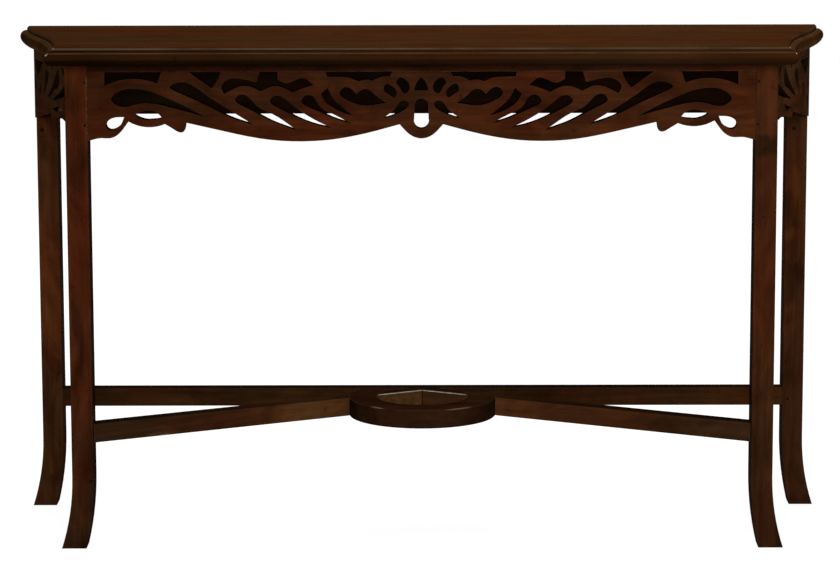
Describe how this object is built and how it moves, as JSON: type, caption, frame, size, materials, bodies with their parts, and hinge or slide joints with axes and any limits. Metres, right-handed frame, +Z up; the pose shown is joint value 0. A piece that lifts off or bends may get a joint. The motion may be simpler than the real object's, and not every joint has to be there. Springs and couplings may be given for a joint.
{
  "type": "pier table",
  "caption": "Narrow pier table with a moulded trapezoid top, pierced scroll apron, fan-pierced canted ends, square legs with swept feet, and low diagonal stretchers joined by a flat ring.",
  "frame": {"origin": "on the floor, under the middle of the top's overall outline", "axes": "+X to the table's right along its length, +Y from the front to the wall side, +Z up"},
  "size_m": [1.302, 0.395, 0.785],
  "materials": {
    "stained_wood": "dark reddish-brown stain under a worn semi-gloss varnish",
    "inner_wood": "sawn hardwood with a thin wash of stain",
    "peg_wood": "dark end grain",
    "screw_steel": "dulled plain steel"
  },
  "bodies": {
    "root": {"top_front_plank": "stained_wood", "top_middle_plank": "stained_wood", "top_rear_plank": "stained_wood", "top_tongues": "inner_wood", "top_screws": "screw_steel", "left_top_bearer": "inner_wood", "right_top_bearer": "inner_wood", "front_left_leg": "stained_wood", "front_right_leg": "stained_wood", "rear_left_leg": "stained_wood", "rear_right_leg": "stained_wood", "front_frieze_rail": "stained_wood", "front_fret_panel": "stained_wood", "left_fan_panel": "stained_wood", "right_fan_panel": "stained_wood", "rear_apron": "stained_wood", "rear_stretcher": "stained_wood", "left_diagonal_stretcher": "stained_wood", "right_diagonal_stretcher": "stained_wood", "stretcher_ring": "stained_wood", "front_left_glue_block": "inner_wood", "front_right_glue_block": "inner_wood", "rear_left_glue_block": "inner_wood", "rear_right_glue_block": "inner_wood", "fret_panel_pegs": "peg_wood", "fan_panel_pegs": "peg_wood", "rear_apron_pegs": "peg_wood", "stretcher_pegs": "peg_wood", "ring_pegs": "peg_wood", "ring_screws": "screw_steel"}
  },
  "joints": []
}
